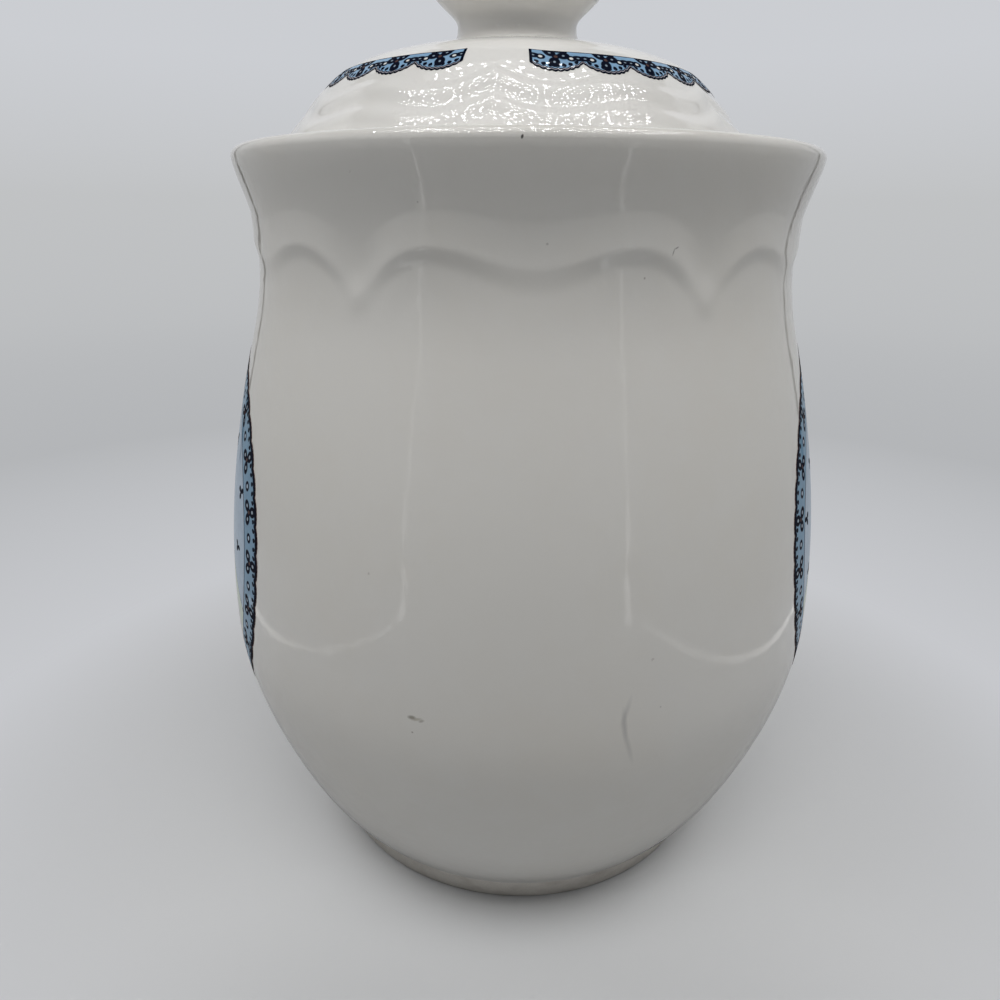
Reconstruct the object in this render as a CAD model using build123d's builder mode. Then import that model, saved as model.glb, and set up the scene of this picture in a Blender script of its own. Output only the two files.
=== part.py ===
from build123d import *
from math import cos, pi, sin
import os

# Biscuit jar of slip-cast, glazed earthenware. A round-bellied jar has a flared
# mouth with a ledge inside it. A domed lid rests on that ledge, with a hollow knob
# luted to its top. Printed pictures and lace are fired on as thin films.
# +Z is up and the origin is the middle of the foot, on the table. The pictures
# face +X and -X, and the plain sides face -Y and +Y.

os.makedirs("parts", exist_ok=True)

# jar wall from the outside, upwards
foot_radius = 72.0
band_flare = 4.5  # the band leans out by this much
band_height = 11.0  # the unglazed band round the foot ends here
flank_inset = 9.8  # in from the belly
flank_drop = 45.0  # below the belly
belly_radius = 103.5
belly_height = 89.0
shoulder_swell = 10.2  # out from the neck
shoulder_drop = 46.0  # below the neck
collar_swell = 4.0
collar_drop = 22.0
neck_radius = 84.5
neck_height = 206.0
throat_flare = 2.5  # out from the neck
throat_rise = 16.0  # above the neck
lip_flare = 5.5
lip_rise = 29.7
lip_thickness = 5.4

# jar wall from the inside
wall = 5.0
floor_thickness = 7.0
floor_corner = 12.0  # the flat floor ends this far in from the foot's outside
foot_hollow = 3.0  # how far the base stands clear of the table
foot_ring_width = 7.0
foot_round = 1.2

# ledge inside the mouth, which carries the lid
ledge_drop = 13.7  # from the lip down to the ledge
ledge_width = 6.5  # in from the neck's inner wall
ledge_thickness = 8.0
ledge_slope = 9.0  # height of the sloping underside
mouth_taper = 2.1  # how much narrower the mouth is at the ledge than at the lip
ledge_round = 1.2

# lid: play all round in its seat, and where it happens to stand in that play
seat_play = 4.5
seat_gap = 1.3  # least gap left on the side it is pushed to
lid_turn = -6.0  # degrees about its own axis
lid_wall = 4.5
flange_depth = 14.0
flange_wall = 4.5
lid_round = 1.5
rim_height = 7.5  # top of the lid's outer edge above the ledge
slope_inset = 12.0  # in from the lid's edge
slope_height = 21.2  # above the ledge, as are the next three
bend_inset = 24.0
bend_height = 33.7
crown_inset = 36.0
crown_height = 38.6
pad_height = 43.7  # the flat pad that the knob stands on
vent_radius = 2.0

# knob
knob_neck_radius = 18.0
knob_neck_height = 5.0
knob_flare_radius = 21.8
knob_flare_height = 10.2
knob_radius = 29.0
knob_middle_height = 22.0
knob_height = 41.0
knob_wall = 4.5

# printed films: pictures on the belly and lace on the lid
film = 0.25
film_gap = 0.2  # under the film, so that the curved faces stay clear
picture_right_rise = 32.5  # centre above the widest part of the belly
picture_left_rise = 28.0
picture_half_width = 64.0
picture_half_height = 64.5
lace_inset = 25.0  # from the lid's edge in to the lace's upper edge
lace_width = 7.0  # seen from above
lace_arc = 163.8  # degrees

# sizes that follow from those
band_radius = foot_radius + band_flare
floor_radius = foot_radius - floor_corner
floor_height = foot_hollow + floor_thickness
lip_radius = neck_radius + lip_flare
jar_height = neck_height + lip_rise
lip_height = jar_height - lip_thickness / 2
mouth_radius = lip_radius - lip_thickness - mouth_taper
ledge_radius = neck_radius - wall - ledge_width
ledge_height = jar_height - ledge_drop
lid_rim_radius = mouth_radius - seat_play
flange_radius = ledge_radius - seat_play
lid_shift = seat_play - seat_gap
slope_radius = lid_rim_radius - slope_inset
bend_radius = lid_rim_radius - bend_inset
crown_radius = lid_rim_radius - crown_inset
pad_top = ledge_height + pad_height
lace_inner_radius = lid_rim_radius - lace_inset
picture_reach = belly_radius + wall  # far enough out to pass through the film

# points of the jar's wall as a radius and a height, the heel inside and the rest outside
heel = (band_radius - wall, band_height)
flank = (belly_radius - flank_inset, belly_height - flank_drop)
belly = (belly_radius, belly_height)
shoulder = (neck_radius + shoulder_swell, neck_height - shoulder_drop)
collar = (neck_radius + collar_swell, neck_height - collar_drop)
neck = (neck_radius, neck_height)
throat = (neck_radius + throat_flare, neck_height + throat_rise)

lid_section = Plane(origin=(-lid_shift, 0, 0), x_dir=(1, 0, 0), z_dir=(0, -1, 0))
lid_plan = Plane(origin=(-lid_shift, 0, ledge_height), x_dir=(1, 0, 0), z_dir=(0, 0, 1))
lid_axis = Axis((-lid_shift, 0, 0), (0, 0, 1))

# directions in which the curves start and end
upright = (0, 1)
downward = (0, -1)
inward = (-1, 0)
band_slope = (0.78, 1)
heel_slope = (-0.78, -1)
lip_slope = (0.15, 1)
under_ledge_slope = (0.3, -1)
dome_tangents = [(1, -0.24), (0.75, -1)]


def outward(point, distance):
    """A point of the wall, moved away from the jar's axis."""
    return (point[0] + distance, point[1])


def wall_line(thicker=0.0):
    """Outside of the jar's wall, from the foot band up over belly and neck to the lip."""
    start = outward((band_radius, band_height), thicker)
    end = outward((lip_radius, lip_height), thicker)
    widest = outward(belly, thicker)
    narrowest = outward(neck, thicker)
    Spline(start, outward(flank, thicker), widest, tangents=[band_slope, upright])
    Spline(
        widest,
        outward(shoulder, thicker),
        outward(collar, thicker),
        narrowest,
        tangents=[upright, upright],
    )
    Spline(narrowest, outward(throat, thicker), end, tangents=[upright, lip_slope])
    return start, end


def dome_points(higher=0.0):
    """Outline of the lid's dome from the knob's pad out to the rim, as radius and height."""
    start = ledge_height + higher
    return [
        (knob_neck_radius, start + pad_height),
        (crown_radius, start + crown_height),
        (bend_radius, start + bend_height),
        (slope_radius, start + slope_height),
        (lid_rim_radius, start + rim_height),
    ]


def ball_points(inset):
    """Upper half of the knob, a quarter of an ellipse from its middle up to its top."""
    across = knob_radius - inset
    up = knob_height - knob_middle_height - inset
    centre = pad_top + knob_middle_height
    return [
        (across, centre),
        (across * cos(pi / 4), centre + up * sin(pi / 4)),
        (0, centre + up),
    ]


# jar body: foot ring, belly, neck and flared lip, with the lid's ledge inside
with BuildPart() as jar_body:
    with BuildSketch(Plane.XZ):
        with BuildLine():
            FilletPolyline(
                (0, foot_hollow),
                (foot_radius - foot_ring_width - foot_hollow, foot_hollow),
                (foot_radius - foot_ring_width, 0),
                (foot_radius, 0),
                (band_radius, band_height),
                radius=foot_round,
            )
            wall_line()
            ThreePointArc(
                (lip_radius, lip_height),
                (lip_radius - lip_thickness / 2, jar_height),
                (lip_radius - lip_thickness, lip_height),
            )
            FilletPolyline(
                (lip_radius - lip_thickness, lip_height),
                (mouth_radius, ledge_height),
                (ledge_radius, ledge_height),
                (ledge_radius, ledge_height - ledge_thickness),
                (neck_radius - wall, ledge_height - ledge_thickness - ledge_slope),
                radius=ledge_round,
            )
            Spline(
                (neck_radius - wall, ledge_height - ledge_thickness - ledge_slope),
                outward(shoulder, -wall),
                outward(belly, -wall),
                outward(flank, -wall),
                heel,
                tangents=[under_ledge_slope, heel_slope],
            )
            Polyline(heel, (floor_radius, floor_height), (0, floor_height), (0, foot_hollow))
        make_face()
    revolve(axis=Axis.Z)
jar_body.part.label = "jar_body"
export_step(jar_body.part, "parts/jar_body.step")


# lid: dome with a flat pad for the knob, a seat and a locating flange below
with BuildPart() as lid:
    inner_radius = flange_radius - flange_wall
    with BuildSketch(lid_section):
        with BuildLine():
            Line((0, pad_top), (knob_neck_radius, pad_top))
            Spline(*dome_points(), tangents=dome_tangents)
            FilletPolyline(
                (lid_rim_radius, ledge_height + rim_height),
                (lid_rim_radius, ledge_height),
                (flange_radius, ledge_height),
                (flange_radius, ledge_height - flange_depth),
                (inner_radius, ledge_height - flange_depth),
                (inner_radius, ledge_height + slope_height / 2),
                radius=lid_round,
            )
            Spline(
                (inner_radius, ledge_height + slope_height / 2),
                (slope_radius - lid_wall, ledge_height + slope_height - lid_wall / 2),
                (bend_radius - lid_wall / 2, ledge_height + bend_height - lid_wall),
                (crown_radius, ledge_height + crown_height - lid_wall),
                (knob_neck_radius, pad_top - lid_wall),
                tangents=[upright, inward],
            )
            Polyline((knob_neck_radius, pad_top - lid_wall), (0, pad_top - lid_wall), (0, pad_top))
        make_face()
    revolve(axis=lid_axis)
    with BuildSketch(lid_plan.offset(pad_height)):
        Circle(vent_radius)
    extrude(amount=-2 * lid_wall, mode=Mode.SUBTRACT)
lid.part.label = "lid"
export_step(lid.part, "parts/lid.step")


# knob: a hollow ball on a short neck, open below where it is luted to the pad
with BuildPart() as lid_knob:
    with BuildSketch(lid_section):
        with BuildLine():
            Polyline(
                (knob_neck_radius - knob_wall, pad_top),
                (knob_neck_radius, pad_top),
                (knob_neck_radius, pad_top + knob_neck_height),
            )
            Spline(
                (knob_neck_radius, pad_top + knob_neck_height),
                (knob_flare_radius, pad_top + knob_flare_height),
                (knob_radius, pad_top + knob_middle_height),
                tangents=[upright, upright],
            )
            Spline(*ball_points(0), tangents=[upright, inward])
            Line((0, pad_top + knob_height), (0, pad_top + knob_height - knob_wall))
            Spline(*ball_points(knob_wall), tangents=[upright, inward])
            Spline(
                (knob_radius - knob_wall, pad_top + knob_middle_height),
                (knob_flare_radius - knob_wall, pad_top + knob_flare_height),
                (knob_neck_radius - knob_wall, pad_top + knob_neck_height),
                tangents=[downward, downward],
            )
            Line(
                (knob_neck_radius - knob_wall, pad_top + knob_neck_height),
                (knob_neck_radius - knob_wall, pad_top),
            )
        make_face()
    revolve(axis=lid_axis)
lid_knob.part.label = "lid_knob"
export_step(lid_knob.part, "parts/lid_knob.step")


# pictures: round films on the belly, one facing each way along X
pictures = (
    (1, "picture_right", picture_right_rise),
    (-1, "picture_left", picture_left_rise),
)
for side, name, rise in pictures:
    picture_section = Plane(origin=(0, 0, 0), x_dir=(side, 0, 0), z_dir=(0, -side, 0))
    with BuildPart() as picture:
        with BuildSketch(picture_section):
            with BuildLine():
                under_start, under_end = wall_line(film_gap)
                over_start, over_end = wall_line(film_gap + film)
                Line(under_start, over_start)
                Line(under_end, over_end)
            make_face()
        revolve(axis=Axis.Z)
        with BuildSketch(Plane.YZ):
            with Locations((0, belly_height + rise)):
                Ellipse(picture_half_width, picture_half_height)
        extrude(amount=side * picture_reach, mode=Mode.INTERSECT)
    picture.part.label = name
    export_step(picture.part, f"parts/{name}.step")


# lace on the lid: two films along the bend of the dome, with a gap at each plain side
for middle, name in ((0, "lid_lace_right"), (180, "lid_lace_left")):
    start = middle + lid_turn - lace_arc / 2
    outer_radius = lace_inner_radius + lace_width
    with BuildPart() as lace:
        with BuildSketch(lid_section):
            with BuildLine():
                under = Spline(*dome_points(film_gap), tangents=dome_tangents)
                over = Spline(*dome_points(film_gap + film), tangents=dome_tangents)
                Line(under @ 0, over @ 0)
                Line(under @ 1, over @ 1)
            make_face()
        revolve(axis=lid_axis)
        with BuildSketch(lid_plan):
            with BuildLine():
                near = CenterArc((0, 0), lace_inner_radius, start, lace_arc)
                far = CenterArc((0, 0), outer_radius, start, lace_arc)
                Line(near @ 0, far @ 0)
                Line(near @ 1, far @ 1)
            make_face()
        extrude(amount=pad_height, mode=Mode.INTERSECT)
    lace.part.label = name
    export_step(lace.part, f"parts/{name}.step")
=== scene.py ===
import bpy
import numpy as np
from math import radians
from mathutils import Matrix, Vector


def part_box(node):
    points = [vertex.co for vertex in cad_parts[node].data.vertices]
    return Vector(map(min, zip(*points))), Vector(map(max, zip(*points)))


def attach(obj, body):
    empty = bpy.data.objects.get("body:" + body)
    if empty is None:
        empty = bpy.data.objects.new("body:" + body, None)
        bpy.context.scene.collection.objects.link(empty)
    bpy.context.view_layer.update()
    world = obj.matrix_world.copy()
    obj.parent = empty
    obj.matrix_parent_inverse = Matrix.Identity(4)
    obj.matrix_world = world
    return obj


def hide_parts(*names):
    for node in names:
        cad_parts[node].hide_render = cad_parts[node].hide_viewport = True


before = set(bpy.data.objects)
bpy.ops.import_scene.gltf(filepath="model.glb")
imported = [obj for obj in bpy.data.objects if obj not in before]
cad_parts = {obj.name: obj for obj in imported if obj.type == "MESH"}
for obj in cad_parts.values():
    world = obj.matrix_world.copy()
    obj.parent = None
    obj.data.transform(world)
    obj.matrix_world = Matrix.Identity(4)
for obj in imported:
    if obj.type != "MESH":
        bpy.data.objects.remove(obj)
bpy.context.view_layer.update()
mm = 0.001


def curveThrough(points, startSlope, endSlope, share):
    # Cubic pieces between the points, set out by chord length. The slopes at the inner
    # points make the curvature continuous; share runs from 0 at the start to 1 at the end.
    points = np.array(points, float)
    chord = np.linalg.norm(np.diff(points, axis=0), axis=1)
    at = np.concatenate(([0.0], np.cumsum(chord)))
    system = np.eye(len(points))
    slopes = np.zeros_like(points)
    slopes[0] = np.array(startSlope) / np.linalg.norm(startSlope)
    slopes[-1] = np.array(endSlope) / np.linalg.norm(endSlope)
    for i in range(1, len(points) - 1):
        before, after = chord[i - 1], chord[i]
        system[i, i - 1:i + 2] = after, 2 * (before + after), before
        slopes[i] = 3 * after / before * (points[i] - points[i - 1])
        slopes[i] += 3 * before / after * (points[i + 1] - points[i])
    slopes = np.linalg.solve(system, slopes)
    place = np.asarray(share, float) * at[-1]
    piece = np.clip(np.searchsorted(at, place, side="right") - 1, 0, len(chord) - 1)
    span = chord[piece][:, None]
    t = (place - at[piece])[:, None] / span
    a, b = points[piece], points[piece + 1]
    return (a * (1 + 2 * t) * (1 - t) ** 2 + b * t * t * (3 - 2 * t)
            + span * t * (1 - t) * (slopes[piece] * (1 - t) - slopes[piece + 1] * t))


def roundedLine(points, reach, steps=5, parts=2.05):
    # Straight runs between the points. Each inner corner is a parabola that starts and ends
    # at the distance reach from it, or at the run's length over parts if that is less.
    points = np.array(points, float)
    made = [points[:1]]
    t = np.linspace(0, 1, steps)[:, None]
    for before, corner, after in zip(points, points[1:], points[2:]):
        into = min(reach, np.linalg.norm(corner - before) / parts)
        out = min(reach, np.linalg.norm(after - corner) / parts)
        start = corner + (before - corner) * into / np.linalg.norm(before - corner)
        end = corner + (after - corner) * out / np.linalg.norm(after - corner)
        made.append((1 - t) ** 2 * start + 2 * t * (1 - t) * corner + t * t * end)
    return np.concatenate(made + [points[-1:]])


def rowsThrough(runs):
    # Even steps through runs of (from, to, count), without the first value of all.
    return np.concatenate([np.linspace(low, high, count)[1:] for low, high, count in runs])


def newObject(name, data):
    made = bpy.data.objects.new(name, data)
    bpy.context.scene.collection.objects.link(made)
    return made


def gridMesh(name, points, wrapRows=False, wrapColumns=True, uv=None, fields=None):
    # A surface over a grid of rows and columns. A row whose points all coincide is a
    # pole and gets triangles. uv has one value for each grid line, the last included.
    rows, columns = points.shape[:2]
    index = np.arange(rows * columns).reshape(rows, columns)
    for row in (0, rows - 1):
        if np.ptp(points[row], axis=0).max() < 1e-9:
            index[row] = index[row, 0]
    down = np.arange(rows if wrapRows else rows - 1)[:, None]
    across = np.arange(columns if wrapColumns else columns - 1)[None, :]
    steps = ((0, 0), (0, 1), (1, 1), (1, 0))
    corners = np.stack([index[(down + i) % rows, (across + j) % columns]
                        for i, j in steps], axis=-1).reshape(-1, 4)
    keep = np.ones_like(corners, bool)
    keep[:, 1] = corners[:, 1] != corners[:, 0]
    keep[:, 3] = corners[:, 3] != corners[:, 2]
    used, compact = np.unique(corners[keep], return_inverse=True)
    sizes = keep.sum(axis=1)
    mesh = bpy.data.meshes.new(name)
    mesh.vertices.add(len(used))
    mesh.vertices.foreach_set("co", (points.reshape(-1, 3)[used] * mm).ravel())
    mesh.loops.add(len(compact))
    mesh.loops.foreach_set("vertex_index", compact.ravel())
    mesh.polygons.add(len(sizes))
    mesh.polygons.foreach_set("loop_start", np.cumsum(sizes) - sizes)
    mesh.update(calc_edges=True)
    for title, values in (uv or {}).items():
        spread = np.stack([values[down + i, across + j] for i, j in steps], axis=2)
        layer = mesh.uv_layers.new(name=title)
        layer.data.foreach_set("uv", spread.reshape(-1, 4, 2)[keep].ravel())
    for title, values in (fields or {}).items():
        layer = mesh.attributes.new(title, "FLOAT", "POINT")
        layer.data.foreach_set("value", values.reshape(-1)[used])
    mesh.shade_smooth()
    return newObject(name, mesh)


def azimuths(columns):
    return np.arange(columns)[None, :] * 360 / columns


def lathe(radius, azimuth, height, centre=0.0):
    # Points at a radius and an azimuth, counted from the front (-Y) towards +X.
    turn = np.radians(azimuth)
    return np.stack(np.broadcast_arrays(centre + radius * np.sin(turn),
                                        -radius * np.cos(turn), height), axis=-1)


def softStep(share):
    share = np.clip(share, 0, 1)
    return share * share * (3 - 2 * share)


# Moulded edges repeat in six panels: half a panel, where its crests stand, and how steeply
# the edge falls from them to the cusps.
panel = {"half": 30.0, "crestAt": 16.5, "fall": 1.9}


def fromMiddle(azimuth):
    # Angle from the middle of the nearest panel.
    return np.abs((azimuth + panel["half"]) % (2 * panel["half"]) - panel["half"])


def mouldedLine(azimuth, middle, crest, cusp):
    # A flat wave in the middle of a panel, a crest beside it, and a sharp cusp where two
    # panels meet.
    off, crestAt = fromMiddle(azimuth), panel["crestAt"]
    swell = middle + (crest - middle) * (1 - np.cos(np.pi * np.minimum(off / crestAt, 1))) / 2
    fall = np.clip((off - crestAt) / (panel["half"] - crestAt), 0, 1)
    return np.where(off < crestAt, swell, crest + (cusp - crest) * fall ** panel["fall"])


jar = {
    "foot": [(0, 3), (62, 3), (65, 0), (72, 0), (76.5, 11)],
    "footRound": 1.0,
    # runs of the wall: points, first slope and last slope
    "wall": [
        ([(76.5, 11), (93.7, 44), (103.5, 89)], (0.78, 1), (0, 1)),
        ([(103.5, 89), (94.7, 160), (88.5, 184), (84.5, 206)], (0, 1), (0, 1)),
        ([(84.5, 206), (87, 222), (90, 233)], (0, 1), (0.15, 1)),
    ],
    "wallSteps": 400,  # in each run, where its radius is looked up
    # rows of the wall: from, to and count; they are closest at the moulding
    "wallRows": [(11, 186, 54), (186, 219, 52), (219, 233, 8)],
    "lip": (90, 233),
    "lipThickness": 5.4,
    "lipHeight": 2.7,
    "lipRows": 11,
    "ledge": [(84.6, 233), (82.5, 222), (73, 222), (73, 214), (79.5, 205)],
    "ledgeRound": 1.4,
    "inside": [(79.5, 205), (89.7, 160), (98.5, 89), (88.7, 44), (71.5, 11)],
    "insideSlopes": [(0.3, -1), (-0.78, -1)],
    "insideRows": 30,
    "floor": [(71.5, 11), (60, 10), (0, 10)],
    "floorRound": 4.0,
    "columns": 480,
}

neckBand = {
    # heights at the middle, crest and cusp of each panel, and the soft step's height there
    "upperEdge": (216.3, 218.9, 209.8),
    "lowerEdge": (199.6, 206.5, 192.0),
    "step": (8.0, 5.0, 7.0),
    "swellTo": 0.8,  # the band swells down to this share of the step
    "raise": 1.3,
    "left": 0.5,     # what is left of the raise under the step, down to leftEnd
    "leftEnd": 185.0,
    "flat": 0.7,     # share of the relief at the middle of each panel
    "fade": 0.8,     # share that is gone at the cusp
    # where the step's height changes and the relief fades: start and length, as shares
    # of the crest's angle
    "stepChange": (1.0, 0.75),
    "fading": (1.4, 0.4),
    # a soft drop above each cusp: height, half width, half height, raise
    "drop": (199.0, 3.4, 4.2, 0.6),
    "radius": 84.5,  # of the wall at the drops
}


def wallTable():
    share = np.linspace(0, 1, jar["wallSteps"])
    runs = [curveThrough(points, start, end, share) for points, start, end in jar["wall"]]
    return np.concatenate(runs)


wallLine = wallTable()


def wallRadius(height):
    return np.interp(height, wallLine[:, 1], wallLine[:, 0])


def neckRelief(azimuth, height):
    # A band that swells downwards from its upper edge and ends in a soft step, under which
    # the wall comes back to its own line farther down.
    upper, lower = (mouldedLine(azimuth, *neckBand[edge]) for edge in ("upperEdge", "lowerEdge"))
    off = fromMiddle(azimuth) / panel["crestAt"]
    change, fading = (softStep((off - start) / length)
                      for start, length in (neckBand["stepChange"], neckBand["fading"]))
    middleStep, crestStep, cuspStep = neckBand["step"]
    step = (middleStep + (crestStep - middleStep) * softStep(off)
            + (cuspStep - crestStep) * change)
    swell = np.clip((upper - height) / (upper - lower - neckBand["swellTo"] * step), 0, 1)
    above = softStep((height - lower) / step)
    below = softStep((height - neckBand["leftEnd"]) / (lower - neckBand["leftEnd"]))
    relief = neckBand["raise"] * swell * above + neckBand["left"] * below * (1 - above)
    relief = relief * (neckBand["flat"] + (1 - neckBand["flat"]) * softStep(off))
    level, wide, tall, proud = neckBand["drop"]
    aside = np.radians(azimuth % (2 * panel["half"]) - panel["half"]) * neckBand["radius"]
    drop = proud * np.exp(-(aside / wide) ** 2 - ((height - level) / tall) ** 2)
    return relief * (1 - neckBand["fade"] * fading) + drop


def jarProfile():
    foot = roundedLine(jar["foot"], jar["footRound"])
    heights = rowsThrough(jar["wallRows"])
    wall = np.stack((wallRadius(heights), heights), axis=1)
    turn = np.linspace(0, np.pi, jar["lipRows"])[1:-1]
    (edge, level), half = jar["lip"], jar["lipThickness"] / 2
    lip = np.stack((edge - half + half * np.cos(turn), level + jar["lipHeight"] * np.sin(turn)),
                   axis=1)
    ledge = roundedLine(jar["ledge"], jar["ledgeRound"])
    share = np.linspace(0, 1, jar["insideRows"])
    inner = curveThrough(jar["inside"], *jar["insideSlopes"], share)[1:-1]
    floor = roundedLine(jar["floor"], jar["floorRound"])
    return np.concatenate((foot, wall, lip, ledge, inner, floor)), len(foot), len(wall)


def makeJar():
    profile, start, count = jarProfile()
    azimuth = azimuths(jar["columns"])
    radius = np.repeat(profile[:, :1], jar["columns"], axis=1)
    height = profile[:, 1:]
    wall = slice(start, start + count)
    radius[wall] += neckRelief(azimuth, height[wall])
    made = gridMesh("jarGlazed", lathe(radius, azimuth, height))
    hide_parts("jar_body")
    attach(made, "jar")
    return made


jarGlazed = makeJar()
print("jar made")

lowest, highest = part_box("lid")
lidCentre = (lowest.x + highest.x) / 2 / mm

lid = {
    "turn": -6.0,
    "dome": [(18, 265.7), (42, 260.6), (54, 255.7), (66, 243.2), (78, 229.5)],
    "domeSlopes": [(1, -0.24), (0.75, -1)],
    "domeSteps": 600,  # where its height is looked up
    # rows of the dome, by radius: from, to and count; they are closest at the ribs
    "domeRows": [(18, 52, 16), (52, 74, 60), (74, 78, 5)],
    "rim": [(78, 229.5), (78, 222), (68.5, 222), (68.5, 208), (64, 208), (64, 232.6)],
    "rimRound": 1.6,
    "under": [(64, 232.6), (61.5, 240.95), (51.75, 251.2), (42, 256.1), (18, 261.2)],
    "underSlopes": [(0, 1), (-1, 0)],
    "underRows": 24,
    "vent": 2.0,
    "proud": (0.6, 0.8),  # a relief stands out by these shares, outwards and upwards
    "columns": 480,
}

domeRibs = {
    # radii at the middle, crest and cusp of each panel
    "upper": (62.6, 64.4, 61.0),
    "lower": (67.9, 69.7, 66.2),
    "width": 5.6,
    "raise": 0.45,
}

domeLine = curveThrough(lid["dome"], *lid["domeSlopes"], np.linspace(0, 1, lid["domeSteps"]))


def domeHeight(radius):
    return np.interp(radius, domeLine[:, 0], domeLine[:, 1])


def domeRelief(azimuth, radius):
    # Two wavy ribs run round the dome, side by side, with their cusps towards the knob.
    raised = 0
    for rib in ("upper", "lower"):
        middle = mouldedLine(azimuth - lid["turn"] + panel["half"], *domeRibs[rib])
        off = np.clip(np.abs(radius - middle) / domeRibs["width"] * 2, 0, 1)
        raised = raised + domeRibs["raise"] * (1 + np.cos(np.pi * off)) / 2
    return raised


def makeLid():
    rows = rowsThrough(lid["domeRows"])[:-1]
    radii = np.concatenate(([lid["dome"][0][0]], rows))
    dome = np.stack((radii, domeHeight(radii)), axis=1)
    rim = roundedLine(lid["rim"], lid["rimRound"])
    share = np.linspace(0, 1, lid["underRows"])
    under = curveThrough(lid["under"], *lid["underSlopes"], share)[1:]
    pad = np.array([(lid["vent"], lid["under"][-1][1]), (lid["vent"], lid["dome"][0][1])])
    profile = np.concatenate((dome, rim, under, pad))
    azimuth = azimuths(lid["columns"])
    radius = np.repeat(profile[:, :1], lid["columns"], axis=1)
    height = np.repeat(profile[:, 1:], lid["columns"], axis=1)
    outer = slice(0, len(dome))
    relief = domeRelief(azimuth, radius[outer])
    outwards, upwards = lid["proud"]
    radius[outer] += relief * outwards
    height[outer] += relief * upwards
    made = gridMesh("lidGlazed", lathe(radius, azimuth, height, lidCentre)[::-1], wrapRows=True)
    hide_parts("lid")
    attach(made, "cover")
    return made


lidGlazed = makeLid()
print("lid made")

knob = {
    "foot": 265.7,
    "neck": [(18, 5), (21.8, 10.2), (29, 22)],
    "ball": (29, 22, 19),  # half width, height of its middle over the foot, half height
    # the wiped joint: radius and height above the dome
    "luting": [(25.0, -0.06), (22.4, 0.16), (20.3, 0.7), (18.9, 1.7), (18.2, 3.0)],
    "wall": 4.5,
    "rows": 26,
    "columns": 192,
}


def makeKnob():
    across, middle, up = knob["ball"]
    thick = knob["wall"]
    neck = curveThrough(knob["neck"], (0, 1), (0, 1), np.linspace(0, 1, knob["rows"]))
    turn = np.linspace(0, np.pi / 2, knob["rows"])[1:]
    ball = np.stack((across * np.cos(turn), middle + up * np.sin(turn)), axis=1)
    foot = np.array(knob["luting"])
    foot[:, 1] += domeHeight(foot[:, 0]) - knob["foot"]
    outer = np.concatenate((foot, neck, ball))
    outer[-1, 0] = 0
    inner = outer[len(foot):].copy()
    inner[:, 0] = np.maximum(inner[:, 0] - thick, 0)
    lowered = middle + (inner[:, 1] - middle) * (up - thick) / up
    inner[:, 1] = np.where(inner[:, 1] > middle, lowered, inner[:, 1])
    inner[-1, 0] = 0
    inner = np.concatenate(([(knob["neck"][0][0] - thick, 0)], inner))
    profile = np.concatenate((inner[::-1], outer))
    height = knob["foot"] + profile[:, 1:]
    points = lathe(profile[:, :1], azimuths(knob["columns"]), height, lidCentre)
    made = gridMesh("knobGlazed", points)
    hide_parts("lid_knob")
    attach(made, "cover")
    return made


knobGlazed = makeKnob()
print("knob made")

picture = {
    "radius": 69.6,       # along the surface
    "tall": 64.5 / 69.6,  # height over arc
    "cells": 23,          # of lace round the border, two scallops each
    "scallopDepth": 1.1,
    "frill": (6, 0.22),   # waves along each scallop, two bites to a wave, and their depth
    "film": 0.1,
    "lift": (0.3, 0.6, 1.0),  # of the film's back, rim and front, as shares of film
    "backRings": 9,
    "rings": 88,
    "columns": 46 * 18,
}

bouquet = {
    "tie": (0.0, -22.0),
    "daisies": [(-13.0, 9.0, 9.0), (11.5, 13.5, 8.2), (0.5, -3.5, 8.6)],
    "cups": [(-2.5, 24.5), (21.5, -1.0), (-24.0, -5.0)],
    "stars": [(-19.5, 19.0), (20.5, 22.5), (-11.5, -9.5), (12.5, -9.0), (7.0, 27.5), (-28.0, 6.0),
              (29.0, 9.5), (-12.0, 28.5), (0.5, 12.0)],
    # tips, width and bow of the leaves; tips and bow of the stems under the tie
    "leaves": [(-18, -20, 3.0, 4), (18, -20, 3.0, -4), (-29, -12, 2.6, 3), (30, -11, 2.6, -3),
               (-31, 15, 2.4, -3), (31, 17, 2.4, 3), (-8, 33, 2.0, 2), (14, 33, 2.0, -2),
               (-20, 29, 2.0, 2), (25, 29, 2.0, -2)],
    "stems": [(-9, -40, 2), (-4, -42, 1), (3, -42, -1), (9, -39, -2)],
    "stemHalf": 0.42,
    "stemBow": 1.5,
    "leafRoot": (0.35, 6.0),     # share of the way to its tip, and how far below that
    "daisyPetals": (12, 0.15),   # count, and width as a share of the flower's size
    "daisyEye": 0.24,
    "starPetals": (5, 4.4, 1.35),
    "starEye": 0.9,
    "cupPetal": (10.0, 2.0),
    "cupLeans": (-24, 0, 24),
    "cupDrop": 3.5,
    # loops and ends of the ribbon: length, width and direction
    "bow": [(11, 2.6, 25), (11, 2.6, 155), (13, 1.5, 250), (13, 1.5, 290)],
}


def scallop(along, pitch, power):
    # Arches side by side: 1 in the middle of each, 0 where two meet.
    off = np.abs((along / pitch + 0.5) % 1 - 0.5) * 2
    return (1 - off ** 2) ** power


def petals(x, y, heart, count, length, width, turn=0.0, out=0.56, half=0.5):
    # Distance to a ring of ellipses round a middle, folded into one petal; negative inside.
    dx, dy = x - heart[0], y - heart[1]
    wedge = 2 * np.pi / count
    angle = (np.arctan2(dy, dx) - turn + wedge / 2) % wedge - wedge / 2
    reach = np.hypot(dx, dy)
    along = (reach * np.cos(angle) - length * out) / (length * half)
    return (np.hypot(along, reach * np.sin(angle) / width) - 1) * width


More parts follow.
